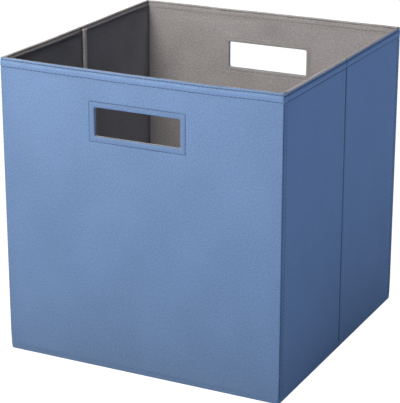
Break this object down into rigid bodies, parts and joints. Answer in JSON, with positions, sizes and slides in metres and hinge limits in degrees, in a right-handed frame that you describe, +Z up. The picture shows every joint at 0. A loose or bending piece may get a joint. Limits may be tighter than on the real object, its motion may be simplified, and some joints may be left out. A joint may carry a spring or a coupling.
{
  "type": "fabric storage bin",
  "caption": "Open cube-shaped fabric storage bin with stiff walls, a hand hole in front and back, side walls that fold inward to flatten it, and a lift-out base insert.",
  "frame": {"origin": "on the floor, under the centre of the bin", "axes": "+Z up to the rim; -Y is the front wall with a hand hole; +X is to the right when facing the front wall"},
  "size_m": [0.3304, 0.3304, 0.335],
  "materials": {
    "outer_fabric": "matte",
    "lining": "matte",
    "tape": "matte",
    "bottom_cloth": "matte",
    "thread": "satin",
    "board": "matte"
  },
  "bodies": {
    "back_and_bottom": {"bottom_panel": "bottom_cloth", "bottom_seam_band": "outer_fabric", "back_outer_fabric": "outer_fabric", "back_board": "board", "back_lining": "lining", "back_hem": "outer_fabric", "back_hand_hole_facing": "tape", "back_stitching": "thread", "back_left_corner_seam": "outer_fabric", "back_right_corner_seam": "outer_fabric"},
    "left_rear_half": {"left_rear_outer_fabric": "outer_fabric", "left_rear_board": "board", "left_rear_lining": "lining", "left_rear_hem": "outer_fabric", "left_rear_stitching": "thread", "left_crease_tape": "tape"},
    "left_front_half": {"left_front_outer_fabric": "outer_fabric", "left_front_board": "board", "left_front_lining": "lining", "left_front_hem": "outer_fabric", "left_front_stitching": "thread"},
    "front_wall": {"front_outer_fabric": "outer_fabric", "front_board": "board", "front_lining": "lining", "front_hem": "outer_fabric", "front_hand_hole_facing": "tape", "front_stitching": "thread", "front_left_corner_seam": "outer_fabric", "front_right_corner_seam": "outer_fabric"},
    "right_rear_half": {"right_rear_outer_fabric": "outer_fabric", "right_rear_board": "board", "right_rear_lining": "lining", "right_rear_hem": "outer_fabric", "right_rear_stitching": "thread", "right_crease_tape": "tape"},
    "right_front_half": {"right_front_outer_fabric": "outer_fabric", "right_front_board": "board", "right_front_lining": "lining", "right_front_hem": "outer_fabric", "right_front_stitching": "thread"},
    "base_insert": {"base_insert_board": "board", "base_insert_cover": "lining", "base_insert_stitching": "thread"}
  },
  "joints": [
    {"name": "right_rear_fold", "type": "hinge", "parent": "back_and_bottom", "child": "right_rear_half", "pos_m": [0.1604, 0.161, 0.17], "axis": [0, 0, -1], "range_deg": [0, 82], "deforming": ["bottom_panel", "bottom_seam_band"]},
    {"name": "right_front_fold", "type": "hinge", "parent": "right_rear_half", "child": "right_front_half", "pos_m": [0.1654, 0, 0.17], "axis": [0, 0, -1], "range_deg": [-164, 0]},
    {"name": "front_right_fold", "type": "hinge", "parent": "right_front_half", "child": "front_wall", "pos_m": [0.1604, -0.161, 0.17], "axis": [0, 0, -1], "range_deg": [0, 82]},
    {"name": "front_left_fold", "type": "hinge", "parent": "front_wall", "child": "left_front_half", "pos_m": [-0.1604, -0.161, 0.17], "axis": [0, 0, -1], "range_deg": [0, 82]},
    {"name": "left_rear_fold", "type": "hinge", "parent": "left_front_half", "child": "left_rear_half", "pos_m": [-0.1654, 0, 0.17], "axis": [0, 0, -1], "range_deg": [-164, 0]},
    {"name": "insert_lift", "type": "slide", "parent": "back_and_bottom", "child": "base_insert", "axis": [0, 0, 1], "range_m": [0, 0.35]}
  ],
  "couplings": [
    {"joint": "right_front_fold", "follows": "right_rear_fold", "ratio": -2},
    {"joint": "front_right_fold", "follows": "right_rear_fold", "ratio": 1},
    {"joint": "front_left_fold", "follows": "right_rear_fold", "ratio": 1},
    {"joint": "left_rear_fold", "follows": "right_rear_fold", "ratio": -2}
  ]
}
